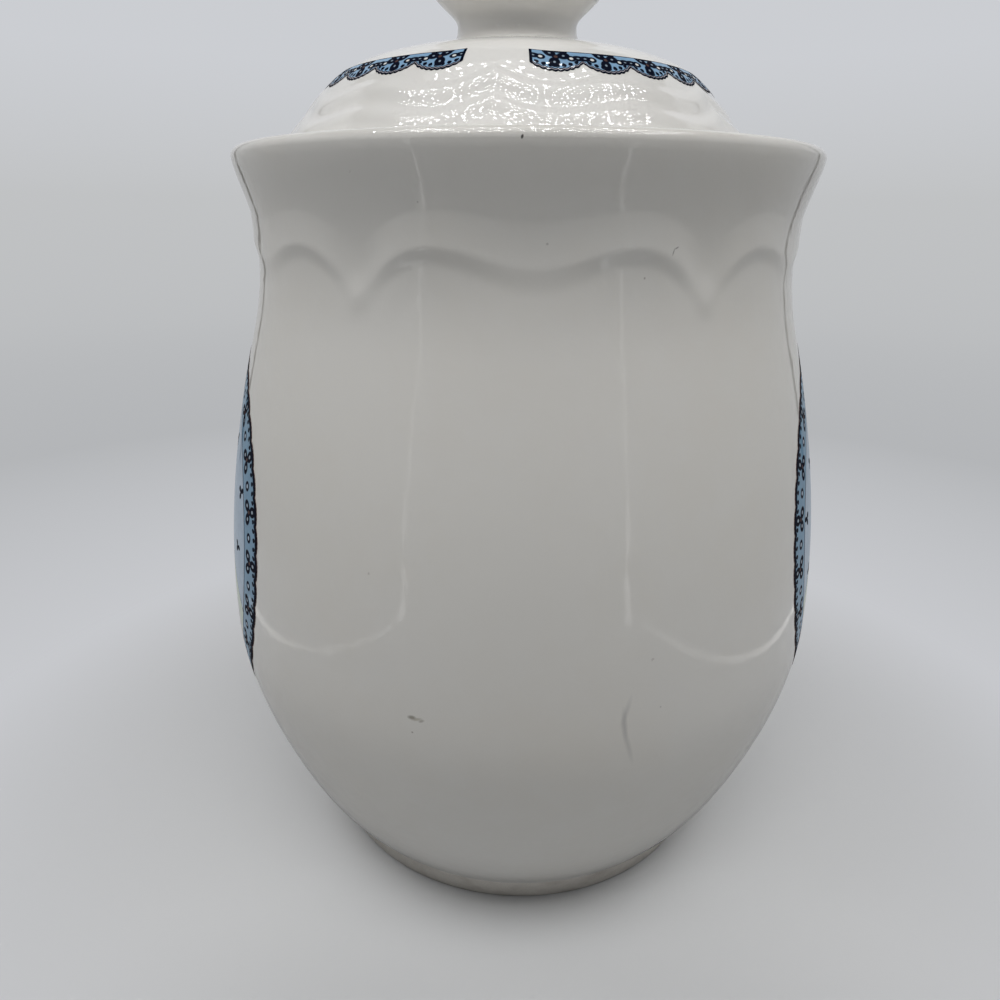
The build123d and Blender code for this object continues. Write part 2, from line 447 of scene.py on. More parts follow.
def blade(x, y, root, tip, width, bow, full=3.0, taper=0.8):
    # Distance to a leaf: a lens about a line that bows sideways between root and tip.
    run = np.subtract(tip, root)
    span = np.hypot(*run)
    t = ((x - root[0]) * run[0] + (y - root[1]) * run[1]) / span ** 2
    off = ((y - root[1]) * run[0] - (x - root[0]) * run[1]) / span
    held = np.clip(t, 0, 1)
    off = off - bow * 4 * held * (1 - held)
    return np.hypot(off, (t - held) * span) - width * full * held ** taper * (1 - held)


def stalk(x, y, root, tip, bow):
    return blade(x, y, root, tip, 0.0, bow) - bouquet["stemHalf"]


def paintBouquet(x, y):
    # Signed distances, in millimetres, to everything of one colour in the bunch of flowers.
    # Each flower is turned by its own place, so that no two look alike.
    tie, bend = bouquet["tie"], bouquet["stemBow"]
    daisies, cups, stars = bouquet["daisies"], bouquet["cups"], bouquet["stars"]
    heads = [daisy[:2] for daisy in daisies] + cups + stars
    stems = [stalk(x, y, tie, head, bend if head[0] < 0 else -bend) for head in heads]
    stems += [stalk(x, y, tie, (tx, ty), bow) for tx, ty, bow in bouquet["stems"]]
    share, lower = bouquet["leafRoot"]
    leaves = [blade(x, y, (tx * share, ty * share - lower), (tx, ty), width, bow)
              for tx, ty, width, bow in bouquet["leaves"]]
    count, slim = bouquet["daisyPetals"]
    white = [petals(x, y, (px, py), count, size, size * slim, px) for px, py, size in daisies]
    gold = [np.hypot(x - px, y - py) - size * bouquet["daisyEye"] for px, py, size in daisies]
    gold += [np.hypot(x - px, y - py) - bouquet["starEye"] for px, py in stars]
    gold += [petals(x, y, (px, py - bouquet["cupDrop"]), 1, *bouquet["cupPetal"], radians(90 + lean))
             for px, py in cups for lean in bouquet["cupLeans"]]
    blue = [petals(x, y, (px, py), *bouquet["starPetals"], px + py) for px, py in stars]
    blue += [petals(x, y, tie, 1, size, width, radians(way)) for size, width, way in bouquet["bow"]]
    return {title: np.minimum.reduce(shapes) for title, shapes in
            (("stem", stems), ("leaf", leaves), ("white", white), ("gold", gold), ("blue", blue))}


def makePicture(name, node, facing, middle, turn):
    # Rings round the middle of the picture, wrapped on to the wall: first the back of the
    # film, out from the middle, then its front, back in to the middle.
    theta = np.arange(picture["columns"] + 1) * 2 * np.pi / picture["columns"]
    around = (theta - radians(turn)) * picture["radius"]
    pitch = np.pi * picture["radius"] / picture["cells"]
    waves, bite = picture["frill"]
    edge = picture["radius"] - picture["scallopDepth"] * (1 - scallop(around, pitch, 0.5))
    edge = edge - bite * np.sin(around * 2 * np.pi * waves / pitch) ** 2
    backRings, rings = picture["backRings"], picture["rings"]
    share = np.concatenate((np.linspace(0, 1, backRings), np.linspace(1, 0, rings)))[:, None]
    lift = np.repeat(picture["lift"], (backRings - 1, 1, rings))[:, None]
    across = share * edge * np.cos(theta)
    up = share * edge * np.sin(theta)
    height = middle + up * picture["tall"]
    wall = wallRadius(height)
    azimuth = facing + np.degrees(across / wall)
    points = lathe(wall + picture["film"] * lift, azimuth, height)
    lace = np.stack(np.broadcast_arrays(around, picture["radius"] - share * edge), axis=-1)
    face = np.stack((across, up), axis=-1)
    fields = {"edge": edge - share * edge}
    fields.update(paintBouquet(across, up))
    made = gridMesh(name, points[:, :-1], uv={"lace": lace, "face": face},
                    fields={title: values[:, :-1] for title, values in fields.items()})
    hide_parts(node)
    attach(made, "jar")
    return made


# facing, height of the middle, and where the first cell of lace stands
pictures = [makePicture("printRight", "picture_right", 90.7, 121.5, 11.6),
            makePicture("printLeft", "picture_left", -90, 117.0, 1.85)]
print("pictures made")

lidLace = {
    "top": 54.5,
    "topDip": (0.9, 4.0),  # the ends of the top line lie nearer the knob: how far, and reach
    "cusp": 57.6,
    "bottom": 59.8,
    "scallop": 13.1,  # degrees
    "archPower": 0.75,
    "frill": (0.24, 1.5),  # depth and pitch
    "arc": 163.8,
    "middle": 59.0,   # radius at which the cells are measured
    "slant": 1.33,    # surface length for each step of radius, on this part of the dome
    "film": 0.1,
    "backLift": 0.3,  # of the film's back, as a share of it
    "backStep": 3,    # the back has one row for so many rows of the front
    "rows": 26,
    "columns": 450,
}
lidPitch = radians(lidLace["scallop"]) * lidLace["middle"]


def makeLidLace(name, node, facing, shift):
    # A band round the dome with a straight top and a scalloped lower edge, front and back.
    off = np.linspace(-lidLace["arc"] / 2, lidLace["arc"] / 2, lidLace["columns"] + 1)
    fromEnd = lidLace["arc"] / 2 - np.abs(off)
    along = np.radians(fromEnd) * lidLace["middle"]
    arch = scallop(along - lidPitch / 2, lidPitch, lidLace["archPower"])
    bite, step = lidLace["frill"]
    frill = bite * np.abs(np.cos(np.pi * along / step))
    edge = lidLace["cusp"] + (lidLace["bottom"] - lidLace["cusp"]) * arch + frill + shift
    dip, reach = lidLace["topDip"]
    top = lidLace["top"] + shift - dip * np.exp(-fromEnd / reach)
    front = np.linspace(0, 1, lidLace["rows"])
    back = front[::-lidLace["backStep"]]
    share = np.concatenate((front, back))[:, None]
    lift = np.repeat((1.0, lidLace["backLift"]), (len(front), len(back)))[:, None]
    radius = top + share * (edge - top)
    azimuth = lid["turn"] + facing + off
    raised = domeRelief(azimuth, radius) + lidLace["film"] * lift
    outwards, upwards = lid["proud"]
    height = domeHeight(radius) + raised * upwards
    points = lathe(radius + raised * outwards, azimuth, height, lidCentre)
    slant = lidLace["slant"]
    lace = np.stack(np.broadcast_arrays(along, (radius - top) * slant), axis=-1)
    lace = np.concatenate((lace, lace[:1]))
    fields = {"edge": (edge - radius) * slant, "end": np.broadcast_to(along, radius.shape)}
    made = gridMesh(name, points[::-1], wrapRows=True, wrapColumns=False, uv={"lace": lace[::-1]},
                    fields={title: values[::-1] for title, values in fields.items()})
    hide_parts(node)
    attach(made, "cover")
    return made


# facing, and how far the band lies down the dome
laces = [makeLidLace("laceRight", "lid_lace_right", 90, 0.3),
         makeLidLace("laceLeft", "lid_lace_left", -90, -0.35)]
print("lace made")


def put(tree, value, socket):
    # A socket is linked, a value is set, and a colour gets its alpha.
    if isinstance(value, bpy.types.NodeSocket):
        tree.links.new(value, socket)
    else:
        socket.default_value = (*value, 1) if socket.type == "RGBA" else value


def addNode(tree, kind, *inputs, **settings):
    # Inputs are values or sockets in the order of the node's own; None leaves one alone.
    made = tree.nodes.new("ShaderNode" + kind)
    for key, value in settings.items():
        setattr(made, key, value)
    for socket, value in zip(made.inputs, inputs):
        if value is not None:
            put(tree, value, socket)
    return made


def calc(tree, operation, *values):
    return addNode(tree, "Math", *values, operation=operation).outputs[0]


def times(tree, first, second):
    return calc(tree, "MULTIPLY", first, second)


def plus(tree, first, second):
    return calc(tree, "ADD", first, second)


def minus(tree, first, second):
    return calc(tree, "SUBTRACT", first, second)


def folded(tree, value, half):
    # The value, wrapped into the range from -half to half.
    return calc(tree, "WRAP", value, half, times(tree, half, -1.0))


def vector(tree, operation, *values):
    made = addNode(tree, "VectorMath", *values, operation=operation)
    return made.outputs["Value" if operation in ("LENGTH", "DISTANCE") else "Vector"]


def flatPoint(tree, x, y):
    return addNode(tree, "CombineXYZ", x, y).outputs[0]


def noise(tree, place, scale, detail=2.0, roughness=0.5):
    return addNode(tree, "TexNoise", place, None, scale, detail, roughness).outputs[0]


def ranged(tree, value, low, high, atLow, atHigh, **settings):
    return addNode(tree, "MapRange", value, low, high, atLow, atHigh, **settings).outputs[0]


def inside(tree, distance, limit=0.0, soft=0.06):
    # 1 where the distance is below the limit, 0 above it, with a soft edge.
    return ranged(tree, distance, limit - soft, limit + soft, 1.0, 0.0)


def spot(tree, place, middle, reach):
    # Distance from the middle of an ellipse, as a share of its half sizes.
    off = vector(tree, "SUBTRACT", place, (*middle, 0))
    return vector(tree, "LENGTH", vector(tree, "DIVIDE", off, (*reach, 1)))


def laid(tree, share, below, above):
    # The colour above, over the colour below, where share is 1.
    made = addNode(tree, "Mix", share, data_type="RGBA")
    put(tree, below, made.inputs[6])
    put(tree, above, made.inputs[7])
    return made.outputs[2]


def newGroup(name, inputs, outputs):
    # Inputs with their values, where a tuple is a colour and None a vector; outputs by kind.
    tree = bpy.data.node_groups.new(name, "ShaderNodeTree")
    for title, value in inputs.items():
        kind = "Color" if isinstance(value, tuple) else "Vector" if value is None else "Float"
        socket = tree.interface.new_socket(title, in_out="INPUT", socket_type="NodeSocket" + kind)
        if kind == "Color":
            socket.default_value = (*value, 1)
        elif kind == "Float":
            socket.default_value = value
    for title, kind in outputs.items():
        tree.interface.new_socket(title, in_out="OUTPUT", socket_type="NodeSocket" + kind)
    given = tree.nodes.new("NodeGroupInput").outputs
    return tree, given, tree.nodes.new("NodeGroupOutput").inputs


def useGroup(tree, group, **inputs):
    made = tree.nodes.new("ShaderNodeGroup")
    made.node_tree = group
    for title, value in inputs.items():
        put(tree, value, made.inputs[title])
    return made.outputs


studio = {
    "level": [(0, 0), (400, 0), (900, 0)],
    "flat": 1500.0,
    "sweep": 900.0,
    "top": 2400.0,
    "bendRows": 14,
    "columns": 96,
    "tone": (0.88, 0.89, 0.90),
    "mottle": 0.96,
    "mottleScale": 0.004,
    "roughness": 0.9,
    "shine": 0.2,
    "bounce": 0.61,  # share of the tone that scattered light meets
    # painted shadow on the floor in front, as if it got a little less light: middle, half sizes,
    # darkening there and elsewhere
    "paintedShadowSpot": ((0, -140), (220, 110)),
    "paintedShadow": (0.30, 0.03),
    "paintedShadowFrom": (0.2, 0.8),  # of the spot's size, where it turns from one to the other
    "paperTo": (40.0, 260.0),  # lit like paper up to here, and a backdrop from here on
    # colour of the backdrop's glow at a distance from the jar: painted light and shade, darker near
    # the jar and again farther out
    "backdrop": [(90, (0.42, 0.42, 0.42)), (250, (0.57, 0.58, 0.605)), (620, (0.455, 0.465, 0.48)),
                 (2150, (0.53, 0.54, 0.55)), (2450, (0.60, 0.615, 0.645))],
    "farthest": 2500.0,
    "sky": (0.93, 0.965, 1.0),
    "skyStrength": 0.03,
}

# Place, target and size in metres, and power in watts.
lamps = {
    "keyLamp": ((0.03, -0.52, 1.50), (0, 0, 0.15), (1.17, 0.5), 8.1),
    "frontLamp": ((0.0, -0.9, 1.2), (0, 0, 0.15), (1.4, 0.5), 0.7),
    "leftLamp": ((-0.85, -0.1, 1.3), (0, 0, 0.12), (0.8, 0.8), 6.3),
    "rightLamp": ((0.85, -0.1, 1.3), (0, 0, 0.12), (0.8, 0.8), 5.1),
}

# Flat shapes that only show in the glaze.
glints = {
    # small bulbs of the key lamp
    "bulbs": {"middle": (30.0, -330.0, 1450.0), "size": (1900.0, 1100.0), "count": (25, 10),
              "half": (10.0, 10.0), "strength": 60.0},
    # the pale board behind the bulbs
    "board": {"middle": (30.0, -330.0, 1456.0), "size": (1560.0, 1100.0), "count": (1, 1),
              "half": (800.0, 570.0), "strength": 0.7},
    # ribbons: points, half width, strength
    "edges": [
        # bright edges of the cloths at both sides
        ([(-860, -1000, 620), (-870, -1000, 300), (-860, -1000, 3), (-620, -735, 3),
          (-400, -500, 3), (-290, -368, 3)], 9.0, 1.6),
        ([(745, -1000, 620), (715, -1000, 300), (685, -1000, 3), (510, -764, 3), (340, -525, 3),
          (255, -400, 3)], 9.0, 1.6),
        ([(-267, 80, 3), (-261, -70, 3), (-264, -200, 3), (-280, -330, 3)], 3.0, 1.1),
        ([(267, 80, 3), (253, -60, 3), (256, -180, 3), (287, -386, 3)], 3.0, 1.2),
        # dark corners behind
        ([(-444, 433, 3), (-444, 433, 500), (-444, 433, 1000)], 14.0, 0.0),
        ([(510, 362, 3), (510, 362, 500), (510, 362, 1000)], 12.0, 0.0),
    ],
    "edgeSteps": 40,
    "seenFrom": (0, 0, 150),  # a ribbon's width lies across the line of sight from here
}

# Lens and sensor in millimetres; place and nearest distance in metres.
view = {"lens": 27.0, "sensor": 36.0, "nearest": 0.01, "place": (-0.00746, -0.2640, 0.2174),
        "down": 20.69, "roll": 0.38}


def makeFloor():
    # A round cove: level, then a quarter turn upwards, then upright.
    turn = np.linspace(0, np.pi / 2, studio["bendRows"])
    bend = np.stack((studio["flat"] + studio["sweep"] * np.sin(turn),
                     studio["sweep"] * (1 - np.cos(turn))), axis=1)
    upright = [(studio["flat"] + studio["sweep"], studio["top"])]
    profile = np.concatenate((studio["level"], bend, upright))
    points = lathe(profile[:, :1], azimuths(studio["columns"]), profile[:, 1:])
    made = gridMesh("cove", points[::-1])
    return made


def areaLamp(name, place, target, size, power):
    data = bpy.data.lights.new(name, "AREA")
    data.shape = "RECTANGLE"
    data.size, data.size_y = size
    data.energy = power
    lamp = newObject(name, data)
    lamp.location = place
    aim = Vector(target) - Vector(place)
    lamp.rotation_euler = aim.to_track_quat("-Z", "Y").to_euler()
    lamp.visible_camera = False
    return lamp


def stageGlint(name, corners, strength):
    # Loose quads that only the glaze sees, and only before light has been scattered.
    mesh = bpy.data.meshes.new(name)
    corners = np.asarray(corners, float)
    faces = np.arange(len(corners) * 4).reshape(-1, 4)
    mesh.from_pydata((corners.reshape(-1, 3) * mm).tolist(), [], faces.tolist())
    made = newObject(name, mesh)
    finish = bpy.data.materials.new(name)
    finish.use_nodes = True
    finish.cycles.emission_sampling = "NONE"
    tree = finish.node_tree
    tree.nodes.remove(tree.nodes["Principled BSDF"])
    depth = tree.nodes.new("ShaderNodeLightPath").outputs["Diffuse Depth"]
    light = addNode(tree, "Emission", None, ranged(tree, depth, 0.0, 1.0, strength, 0.0))
    tree.links.new(light.outputs[0], tree.nodes["Material Output"].inputs[0])
    mesh.materials.append(finish)
    made.visible_camera = made.visible_diffuse = made.visible_shadow = False
    made.visible_transmission = made.visible_volume_scatter = False
    return made


def flatQuads(grid):
    # A grid of rectangles that face down.
    across, along = ((np.arange(n) - (n - 1) / 2) * size / n
                     for n, size in zip(grid["count"], grid["size"]))
    middle = np.stack(np.meshgrid(across, along, [0.0]), axis=-1).reshape(-1, 1, 3)
    corner = np.array([(-1, -1, 0), (-1, 1, 0), (1, 1, 0), (1, -1, 0)]) * (*grid["half"], 0)
    return middle + corner + np.array(grid["middle"])


def edgeQuads(points, half):
    # A smooth ribbon through the points, with its width across the line of sight.
    points = curveThrough(points, np.subtract(points[1], points[0]),
                          np.subtract(points[-1], points[-2]),
                          np.linspace(0, 1, glints["edgeSteps"]))
    run = np.gradient(points, axis=0)
    side = np.cross(run, points - glints["seenFrom"])
    side = side / np.linalg.norm(side, axis=1)[:, None] * half
    low, high = points - side, points + side
    return np.stack((low[:-1], low[1:], high[1:], high[:-1]), axis=1)


def makeCamera():
    made = newObject("camera", bpy.data.cameras.new("camera"))
    made.data.lens = view["lens"]
    made.data.sensor_width = view["sensor"]
    made.data.clip_start = view["nearest"]
    made.location = view["place"]
    made.rotation_euler = (radians(90 - view["down"]), 0, 0)
    made.rotation_euler.rotate_axis("Z", radians(view["roll"]))
    return made


cove = makeFloor()
# The glaze shows only the front lamp itself; glints stand in for the others.
for title, settings in lamps.items():
    areaLamp(title, *settings).visible_glossy = title == "frontLamp"
for title in ("bulbs", "board"):
    stageGlint(title + "Glint", flatQuads(glints[title]), glints[title]["strength"])
for number, (points, half, strength) in enumerate(glints["edges"]):
    stageGlint("edgeGlint" + str(number + 1), edgeQuads(points, half), strength)
camera = makeCamera()
bpy.context.scene.camera = camera

world = bpy.data.worlds.new("studio")
bpy.context.scene.world = world
world.use_nodes = True
sky = world.node_tree.nodes["Background"].inputs
sky["Color"].default_value = (*studio["sky"], 1)
sky["Strength"].default_value = studio["skyStrength"]
bpy.context.scene.view_settings.view_transform = "Standard"
print("studio made")

# Noise scales are in waves for each millimetre, heights in millimetres; colours are linear.
glazeLook = {
    "drift": 0.018, "cloud": 0.11, "ripple": 0.45, "driftShare": 0.7,
    "thinFrom": (0.42, 0.68), "thinMost": 0.55,
    "speckScale": 0.055, "speckRare": 0.35, "speckVary": 2.5, "speckSize": 0.045,
    "speckTint": 0.3, "speckRough": 0.25, "speckPit": 0.05,
    "haze": (-0.01, 0.02), "rippleHeight": 0.012, "cloudHeight": 0.10,
}

clayLook = {
    "colour": (0.74, 0.705, 0.65), "grime": (0.38, 0.34, 0.295), "roughness": 0.85,
    "grain": 1.6, "patch": 0.07, "patchMost": 0.6, "grainMost": 0.22, "grainHeight": 0.12,
}


def glazeGroup():
    # Pooled and thinned glaze: slow drifts of colour, a faint ripple, and iron specks in pits.
    tree, given, out = newGroup("glazeSkin", {
        "place": None, "colour": (0.78, 0.76, 0.72), "thin": (0.74, 0.70, 0.63),
        "speck": (0.16, 0.12, 0.09), "gloss": 0.07},
        {"colour": "Color", "roughness": "Float", "height": "Float"})
    place, look = given["place"], glazeLook
    drift = noise(tree, place, look["drift"])
    cloud = noise(tree, place, look["cloud"], 3.0, 0.55)
    ripple = noise(tree, place, look["ripple"])
    pool = plus(tree, times(tree, drift, look["driftShare"]),
                times(tree, cloud, 1 - look["driftShare"]))
    thin = ranged(tree, pool, *look["thinFrom"], 0.0, look["thinMost"])
    colour = laid(tree, thin, given["colour"], given["thin"])
    cells = addNode(tree, "TexVoronoi", place, None, look["speckScale"], feature="F1")
    draw = addNode(tree, "SeparateColor", cells.outputs["Color"]).outputs[0]
    rare = calc(tree, "GREATER_THAN", draw, look["speckRare"])
    size = times(tree, noise(tree, place, look["speckVary"], 1.0), look["speckSize"])
    speck = times(tree, rare, calc(tree, "LESS_THAN", cells.outputs["Distance"], size))
    colour = laid(tree, times(tree, speck, look["speckTint"]), colour, given["speck"])
    haze = ranged(tree, cloud, 0.35, 0.75, *look["haze"])
    rough = plus(tree, plus(tree, given["gloss"], haze), times(tree, speck, look["speckRough"]))
    wave = times(tree, ripple, look["rippleHeight"])
    wave = plus(tree, wave, times(tree, cloud, look["cloudHeight"]))
    wave = minus(tree, wave, times(tree, speck, look["speckPit"]))
    for socket, value in zip(out, (colour, rough, wave)):
        tree.links.new(value, socket)
    return tree


def clayGroup():
    # Bare fired clay: fine sandy grain and darker rubbed patches.
    look = clayLook
    tree, given, out = newGroup("bareClay", {"place": None, "colour": look["colour"],
                                             "grime": look["grime"]},
                                {"colour": "Color", "height": "Float"})
    grain = noise(tree, given["place"], look["grain"], 4.0, 0.65)
    patch = noise(tree, given["place"], look["patch"], 3.0, 0.6)
    worn = ranged(tree, patch, 0.45, 0.75, 0.0, look["patchMost"])
    colour = laid(tree, worn, given["colour"], given["grime"])
    dust = ranged(tree, grain, 0.3, 0.7, look["grainMost"], 0.0)
    colour = laid(tree, dust, colour, given["grime"])
    for socket, value in zip(out, (colour, times(tree, grain, look["grainHeight"]))):
        tree.links.new(value, socket)
    return tree


# One cell of printed lace, along the edge and in from it, as the pictures have it. Each
# material gives the pitches, and a loop that lies 60 to the side doesn't show.
laceCellShape = {
    "edge": 0.0, "pitch": 18.44, "trefoilIn": 6.6, "trefoilSize": 2.9, "lean": 0.52,
    "eyeletSide": 9.22, "eyeletIn": 7.3, "eyeletSize": 1.7, "loopSide": 60.0, "loopIn": 3.0,
    "loopSize": 1.0, "dotPitch": 3.073, "dotIn": 2.75, "dotSize": 0.85, "core": 0.3,
}

# Of each shape's size: half sizes of its ellipses, and the limits and softness of its parts.
laceForm = {
    "petalAt": (1.0, 0.0), "petal": (0.84, 0.68), "ring": 0.5, "eyelet": (1.15, 1.0),
    "loop": (1.7, 1.0), "ink": (1.0, 0.08), "thread": (0.45, 0.15), "hole": (0.4, 0.08),
}


def laceGroup():
    # A trefoil of three looped petals round a ring, an eyelet and a loop on each side of it,
    # and dots along the edge.
    tree, given, out = newGroup("laceCell", {"lace": None, **laceCellShape}, {
        "ink": "Float", "thread": "Float", "slit": "Float", "hole": "Float"})
    run, down, _ = addNode(tree, "SeparateXYZ", given["lace"]).outputs
    across = folded(tree, run, times(tree, given["pitch"], 0.5))
    aside = calc(tree, "ABSOLUTE", across)

    def local(along, middle, depth, size):
        x = calc(tree, "DIVIDE", minus(tree, along, middle), size)
        y = calc(tree, "DIVIDE", minus(tree, down, depth), size)
        return flatPoint(tree, x, y), x, y

    def beside(title):
        # An ellipse on each side of the trefoil.
        place = local(aside, *(given[title + part] for part in ("Side", "In", "Size")))[0]
        return spot(tree, place, (0, 0), laceForm[title])

    def least(first, *others):
        for other in others:
            first = calc(tree, "MINIMUM", first, other)
        return first

    flower, x, y = local(across, 0.0, given["trefoilIn"], given["trefoilSize"])
    angle = minus(tree, calc(tree, "ARCTAN2", y, x), given["lean"])
    angle = folded(tree, angle, np.pi / 3)
    reach = vector(tree, "LENGTH", flower)
    petal = flatPoint(tree, times(tree, reach, calc(tree, "COSINE", angle)),
                      times(tree, reach, calc(tree, "SINE", angle)))
    petal = spot(tree, petal, laceForm["petalAt"], laceForm["petal"])
    ring = calc(tree, "DIVIDE", reach, laceForm["ring"])
    eyelet, loop = beside("eyelet"), beside("loop")
    step = folded(tree, run, times(tree, given["dotPitch"], 0.5))
    dot = flatPoint(tree, step, minus(tree, given["edge"], given["dotIn"]))
    dot = calc(tree, "DIVIDE", vector(tree, "LENGTH", dot), given["dotSize"])
    ink = inside(tree, least(petal, ring, eyelet, loop, dot), *laceForm["ink"])
    slit = inside(tree, minus(tree, least(petal, loop), given["core"]))
    slit = times(tree, slit, calc(tree, "GREATER_THAN", ring, 1.0))
    thread = inside(tree, ring, *laceForm["thread"])
    hole = inside(tree, eyelet, *laceForm["hole"])
    for socket, value in zip(out, (ink, thread, slit, hole)):
        tree.links.new(value, socket)
    return tree


glazeSkin, bareClay, laceCell = glazeGroup(), clayGroup(), laceGroup()


def newFinish(name, roughness=0.1):
    made = bpy.data.materials.new(name)
    made.use_nodes = True
    tree = made.node_tree
    shader = tree.nodes["Principled BSDF"]
    shader.inputs["Roughness"].default_value = roughness
    return made, tree, shader


def objectPlace(tree):
    # Object coordinates in millimetres.
    made = addNode(tree, "VectorMath", tree.nodes.new("ShaderNodeTexCoord").outputs["Object"],
                   operation="SCALE")
    made.inputs["Scale"].default_value = 1 / mm
    return made.outputs[0]


def uvPlace(tree, title):
    return addNode(tree, "UVMap", uv_map=title).outputs[0]


def field(tree, title):
    return addNode(tree, "Attribute", attribute_name=title).outputs["Fac"]


def bumpOf(tree, shader, height, distance=mm):
    made = tree.nodes.new("ShaderNodeBump")
    made.inputs["Distance"].default_value = distance
    made.inputs["Strength"].default_value = 1.0
    tree.links.new(height, made.inputs["Height"])
    tree.links.new(made.outputs[0], shader.inputs["Normal"])


potFinish = {
    "glaze": (0.80, 0.782, 0.742),
    "thin": (0.775, 0.742, 0.68),
    "gloss": 0.045,
    "thickness": 0.15,
    "endsAt": 10.5,        # least height of the glaze's lower edge on the foot
    "endsWander": (0.06, 1.2),  # its noise: scale and height
    "endsSoft": 0.12,
    "footInside": 63.5,    # the foot is bare outside this radius
    # the pale bead, thicker glaze lightened as a painted highlight: height above the glaze's end,
    # half width, softness, strength
    "beadHighlight": (0.9, 0.5, 0.4, 0.5),
    "beadHighlightColour": (0.88, 0.87, 0.84),
    # painted contact shade on the clay at the floor: height, softness, strength
    "contactShade": (0.7, 0.5, 0.6),
    "contactShadeColour": (0.16, 0.14, 0.12),
    "radius": 95.0,        # at which the marks are laid out
    # azimuth, height, half width, half height, lean, edge, colour, strength: specks, a hair,
    # a brown smear and a scuff
    "marks": [
        (-2.1, 233.2, 0.28, 0.45, 20, 0.3, (0.03, 0.025, 0.02), 0.95),
        (-17.8, 220.4, 0.22, 0.22, 0, 0.5, (0.2, 0.18, 0.16), 0.35),
        (1.9, 211.7, 0.3, 0.25, 0, 0.5, (0.25, 0.22, 0.2), 0.4),
        (17.9, 204.1, 0.25, 0.25, 0, 0.5, (0.2, 0.15, 0.12), 0.5),
        (22.5, 209.9, 0.16, 0.75, 22, 0.5, (0.12, 0.10, 0.08), 0.6),
        (23.1, 210.8, 0.16, 0.6, 68, 0.5, (0.12, 0.10, 0.08), 0.6),
        (-17.1, 93.4, 0.95, 0.55, -5, 0.45, (0.17, 0.15, 0.09), 0.7),
        (-16.3, 93.1, 1.2, 0.4, -20, 0.5, (0.34, 0.30, 0.21), 0.5),
        (-15.6, 92.8, 0.7, 0.35, -30, 0.5, (0.24, 0.21, 0.15), 0.5),
        (-17.1, 88.7, 0.25, 0.25, 0, 0.5, (0.25, 0.2, 0.15), 0.6),
        (14.5, 96.3, 0.5, 3.0, 13, 0.9, (0.33, 0.32, 0.32), 0.3),
        (14.4, 92.3, 0.5, 3.4, -6, 0.9, (0.30, 0.29, 0.29), 0.38),
        (15.2, 85.8, 0.5, 4.4, -15, 0.9, (0.33, 0.32, 0.32), 0.3),
        (20.1, 96.0, 0.2, 0.2, 0, 0.5, (0.3, 0.28, 0.26), 0.5),
    ],
}


def glazeInto(tree, place, finish):
    return useGroup(tree, glazeSkin, place=place, colour=finish["glaze"], thin=finish["thin"],
                    gloss=finish["gloss"])


def markedGlaze(tree, colour, x, y, z):
    # The marks, laid out on the unrolled wall.
    turn = calc(tree, "ARCTAN2", x, times(tree, y, -1.0))
    wall = flatPoint(tree, times(tree, turn, potFinish["radius"]), z)
    for azimuth, height, wide, tall, lean, fuzz, tint, strength in potFinish["marks"]:
        across = np.radians(azimuth) * potFinish["radius"]
        off = vector(tree, "SUBTRACT", wall, (across, height, 0))
        if lean:
            off = addNode(tree, "VectorRotate", off, None, None, radians(lean),
                          rotation_type="Z_AXIS").outputs[0]
        near = vector(tree, "LENGTH", vector(tree, "DIVIDE", off, (wide, tall, 1)))
        share = times(tree, inside(tree, near, 1.0, fuzz), strength)
        colour = laid(tree, share, colour, tint)
    return colour


def glazeOrClay(tree, shader, bare, skin, glaze, clay):
    # The two colours, and their roughness, with the clay where bare is 1.
    tree.links.new(laid(tree, bare, glaze, clay), shader.inputs["Base Color"])
    rough = ranged(tree, bare, 0.0, 1.0, skin["roughness"], clayLook["roughness"])
    tree.links.new(rough, shader.inputs["Roughness"])


def potMaterial():
    made, tree, shader = newFinish("potGlaze")
    place = objectPlace(tree)
    skin = glazeInto(tree, place, potFinish)
    clay = useGroup(tree, bareClay, place=place)
    x, y, z = addNode(tree, "SeparateXYZ", place).outputs
    colour = markedGlaze(tree, skin["colour"], x, y, z)
    scale, rise = potFinish["endsWander"]
    line = plus(tree, potFinish["endsAt"], times(tree, noise(tree, place, scale), rise))
    reach = vector(tree, "LENGTH", vector(tree, "MULTIPLY", place, (1, 1, 0)))
    outside = calc(tree, "GREATER_THAN", reach, potFinish["footInside"])
    bare = times(tree, inside(tree, minus(tree, z, line), 0.0, potFinish["endsSoft"]), outside)
    # the glaze ends in a pale bead with a painted highlight, and painted shade makes the clay dark
    # where it meets the floor
    up, half, soft, strength = potFinish["beadHighlight"]
    fromBeadHighlight = calc(tree, "ABSOLUTE", minus(tree, z, plus(tree, line, up)))
    beadHighlight = times(tree, inside(tree, fromBeadHighlight, half, soft), times(tree, outside, strength))
    colour = laid(tree, beadHighlight, colour, potFinish["beadHighlightColour"])
    # painted contact shade: the clay darkens where it meets the floor
    up, soft, strength = potFinish["contactShade"]
    contactShade = times(tree, inside(tree, z, up, soft), strength)
    contactShaded = laid(tree, contactShade, clay["colour"], potFinish["contactShadeColour"])
    glazeOrClay(tree, shader, bare, skin, colour, contactShaded)
    glazed = plus(tree, skin["height"], potFinish["thickness"])
    bumpOf(tree, shader, ranged(tree, bare, 0.0, 1.0, glazed, clay["height"]))
    return made


lidFinish = {
    # the same glaze as the jar's, lighter here: painted light, as the lid faces the lamp above
    "glaze": (0.87, 0.857, 0.825),
    "thin": (0.85, 0.825, 0.78),
    "gloss": 0.03,
    "bareBelow": (209.6, 0.2),  # the bottom of the flange is bare: height and softness
}


